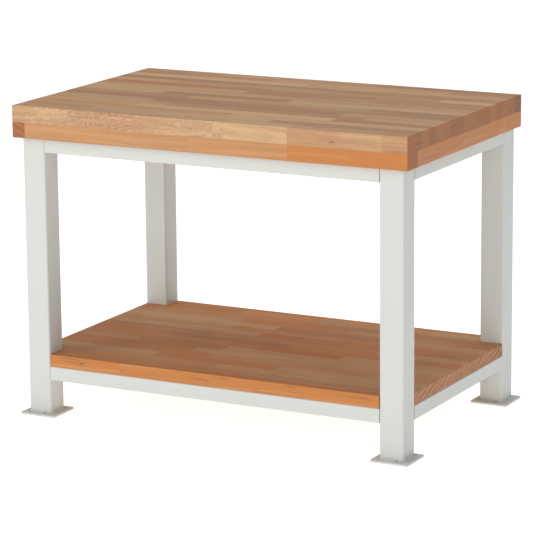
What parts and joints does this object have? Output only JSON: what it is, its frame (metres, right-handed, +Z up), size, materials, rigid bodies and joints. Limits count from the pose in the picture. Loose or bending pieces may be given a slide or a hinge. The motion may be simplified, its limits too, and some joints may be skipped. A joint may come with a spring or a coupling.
{
  "type": "butcher block table",
  "caption": "Heavy work table with a thick laminated beech worktop, a notched beech shelf and a square steel tube frame on bolted-down foot plates.",
  "frame": {"origin": "on the floor, midway between the four legs", "axes": "+X to the right along the worktop's length, +Y from the front to the back, +Z up; the front is the side where the worktop stands out beyond the frame"},
  "size_m": [1.2, 0.77, 0.88],
  "materials": {
    "beech": "steamed beech staves, finger width, glued and sanded, thin satin oil",
    "beech_shelf": "steamed beech staves, slightly redder than the worktop, thin satin oil",
    "powder_coat": "light grey powder coat, satin, with a faint orange peel",
    "zinc": "bright zinc plate, slightly dull"
  },
  "bodies": {
    "root": {"worktop_slab": "beech", "worktop_core": "beech", "worktop_batten_front": "beech", "worktop_batten_back": "beech", "worktop_batten_left": "beech", "worktop_batten_right": "beech", "shelf_board": "beech_shelf", "leg_front_left": "powder_coat", "leg_front_right": "powder_coat", "leg_back_left": "powder_coat", "leg_back_right": "powder_coat", "leg_cap_front_left": "powder_coat", "leg_cap_front_right": "powder_coat", "leg_cap_back_left": "powder_coat", "leg_cap_back_right": "powder_coat", "foot_plate_front_left": "powder_coat", "foot_plate_front_right": "powder_coat", "foot_plate_back_left": "powder_coat", "foot_plate_back_right": "powder_coat", "foot_weld_front_left": "powder_coat", "foot_weld_front_right": "powder_coat", "foot_weld_back_left": "powder_coat", "foot_weld_back_right": "powder_coat", "rail_stubs_front_left": "powder_coat", "rail_stubs_front_right": "powder_coat", "rail_stubs_back_left": "powder_coat", "rail_stubs_back_right": "powder_coat", "upper_rail_front": "powder_coat", "upper_rail_back": "powder_coat", "upper_rail_left": "powder_coat", "upper_rail_right": "powder_coat", "lower_rail_front": "powder_coat", "lower_rail_back": "powder_coat", "lower_rail_left": "powder_coat", "lower_rail_right": "powder_coat", "upper_rail_welds": "powder_coat", "lower_rail_welds": "powder_coat", "upper_rail_bolts": "zinc", "upper_rail_washers": "zinc", "lower_rail_bolts": "zinc", "lower_rail_washers": "zinc", "worktop_screws": "zinc", "worktop_screw_washers": "zinc", "shelf_screws": "zinc", "shelf_screw_washers": "zinc"}
  },
  "joints": []
}
